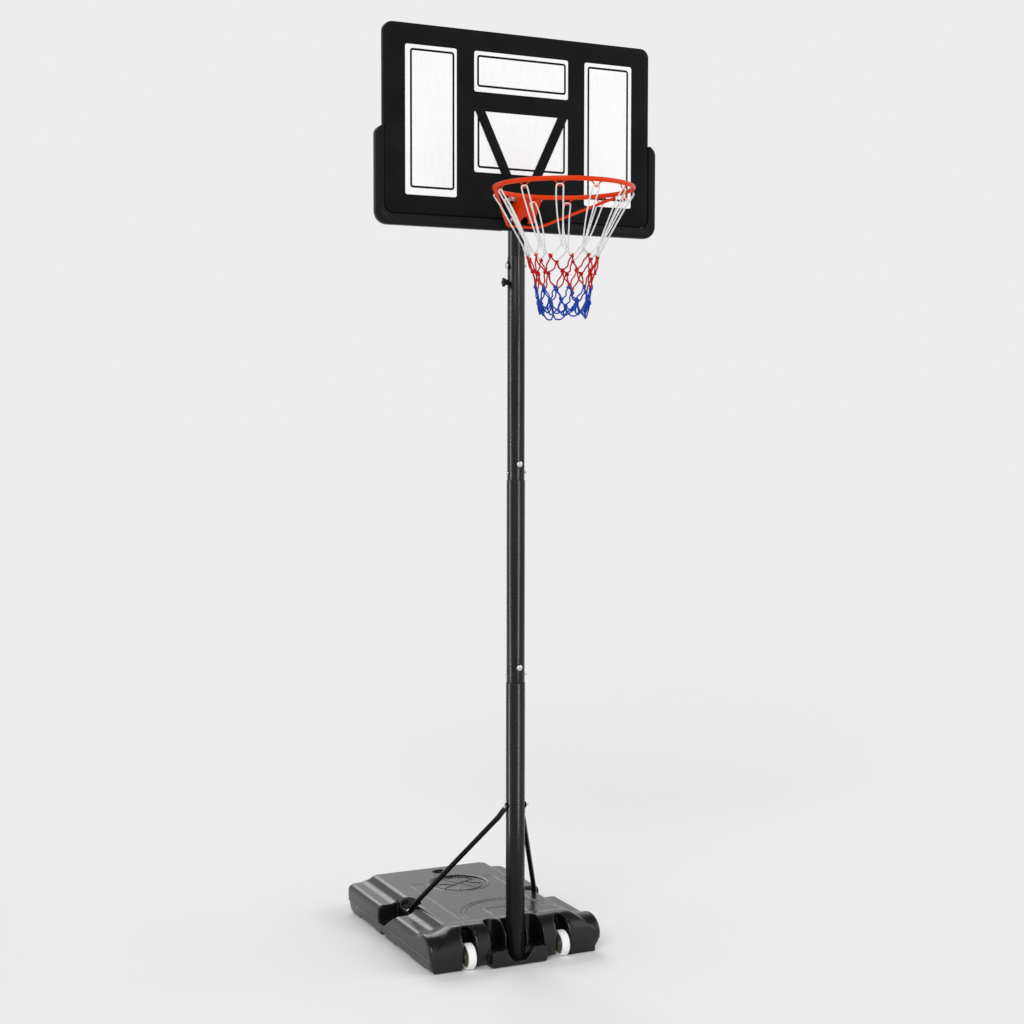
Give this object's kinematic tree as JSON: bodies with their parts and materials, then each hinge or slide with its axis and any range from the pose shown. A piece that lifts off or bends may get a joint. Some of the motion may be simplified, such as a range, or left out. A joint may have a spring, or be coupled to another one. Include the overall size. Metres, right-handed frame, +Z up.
{
  "type": "portable basketball hoop",
  "caption": "Portable basketball hoop: ballast tank on wheels, braced telescoping pole, framed backboard and sprung rim with a corded net.",
  "frame": {"origin": "On the floor under the axis of the pole, on the flat underside of the tank's foot plate.", "axes": "+Z up, -Y toward the court and the rim, +Y back along the tank, +X to the right of someone who looks at the board from the court's right-hand convention (east when north is +Y)."},
  "size_m": [1.112, 1.4945, 3.378],
  "materials": {
    "tank_plastic": "satin",
    "water": "gloss",
    "black_plastic": "satin",
    "seal_rubber": "matte",
    "wheel_plastic": "satin",
    "zinc_steel": "satin",
    "black_steel": "satin",
    "board_plastic": "satin",
    "window_white": "gloss",
    "rim_orange": "satin",
    "cord_white": "matte",
    "cord_red": "matte",
    "cord_blue": "matte"
  },
  "bodies": {
    "stand": {"base_tank": "tank_plastic", "water_ballast": "water", "height_saddle": "black_plastic", "wheel_axle": "zinc_steel", "lower_side_bolt": "zinc_steel", "lower_side_nut": "zinc_steel", "lower_front_bolt": "zinc_steel", "lower_front_nut": "zinc_steel", "upper_side_bolt": "zinc_steel", "upper_side_nut": "zinc_steel", "upper_front_bolt": "zinc_steel", "upper_front_nut": "zinc_steel", "height_bolt": "zinc_steel", "height_nut": "zinc_steel", "brace_bolt": "zinc_steel", "brace_nut": "zinc_steel", "brace_foot_screw_left": "zinc_steel", "brace_foot_screw_right": "zinc_steel", "pole_bottom": "black_steel", "pole_middle": "black_steel", "pole_sleeve": "black_steel", "clamp_boss": "black_steel", "brace_left": "black_steel", "brace_right": "black_steel"},
    "mast": {"pole_inner": "black_steel", "pole_top_cap": "black_plastic", "board_frame": "board_plastic", "window_left": "window_white", "window_right": "window_white", "window_top": "window_white", "window_centre": "window_white", "board_edge_guard": "black_plastic", "board_bracket_upper": "black_steel", "board_bracket_lower": "black_steel", "board_screw_left": "zinc_steel", "board_screw_right": "zinc_steel", "spring_bolt_left": "zinc_steel", "spring_bolt_right": "zinc_steel", "spring_nut_left": "zinc_steel", "spring_nut_right": "zinc_steel", "rim_spring_left": "zinc_steel", "rim_spring_right": "zinc_steel", "rim_bolt_left": "zinc_steel", "rim_bolt_right": "zinc_steel", "rim_nut_left": "zinc_steel", "rim_nut_right": "zinc_steel"},
    "rim": {"rim_ring": "rim_orange", "rim_bracket": "rim_orange", "rim_brace": "rim_orange", "net_white": "cord_white", "net_red": "cord_red", "net_blue": "cord_blue"},
    "wheel_left": {"wheel_left": "wheel_plastic"},
    "wheel_right": {"wheel_right": "wheel_plastic"},
    "seal": {"cap_seal": "seal_rubber"},
    "cap": {"filler_cap": "black_plastic"},
    "clamp_stud": {"clamp_screw": "zinc_steel"},
    "knob": {"clamp_knob": "black_plastic"}
  },
  "joints": [
    {"name": "mast_height", "type": "slide", "parent": "stand", "child": "mast", "axis": [0, 0, 1], "range_m": [0, 0.26]},
    {"name": "rim_tilt", "type": "hinge", "parent": "mast", "child": "rim", "pos_m": [0, -0.0453, 2.7], "axis": [1, 0, 0], "range_deg": [0, 9], "stiffness_Nm_per_rad": 260, "springref_deg": -6.88, "deforming": ["rim_spring_left", "rim_spring_right"]},
    {"name": "wheel_left_spin", "type": "hinge", "parent": "stand", "child": "wheel_left", "pos_m": [-0.19, 0, 0.0475], "axis": [1, 0, 0], "continuous": true},
    {"name": "wheel_right_spin", "type": "hinge", "parent": "stand", "child": "wheel_right", "pos_m": [0.19, 0, 0.0475], "axis": [1, 0, 0], "continuous": true},
    {"name": "cap_turn", "type": "hinge", "parent": "seal", "child": "cap", "pos_m": [0.015, 0.77, 0.15], "axis": [0, 0, 1], "range_deg": [0, 1080]},
    {"name": "cap_lift", "type": "slide", "parent": "stand", "child": "seal", "axis": [0, 0, 1], "range_m": [0, 0.01243]},
    {"name": "clamp_turn", "type": "hinge", "parent": "clamp_stud", "child": "knob", "pos_m": [-0.04, 0, 2.5], "axis": [-1, 0, 0], "range_deg": [0, 720]},
    {"name": "clamp_advance", "type": "slide", "parent": "stand", "child": "clamp_stud", "axis": [-1, 0, 0], "range_m": [0, 0.00349]}
  ],
  "couplings": [
    {"joint": "cap_turn", "follows": "cap_lift", "rad_per_m": 1515.2},
    {"joint": "clamp_turn", "follows": "clamp_advance", "rad_per_m": 3590.4}
  ]
}
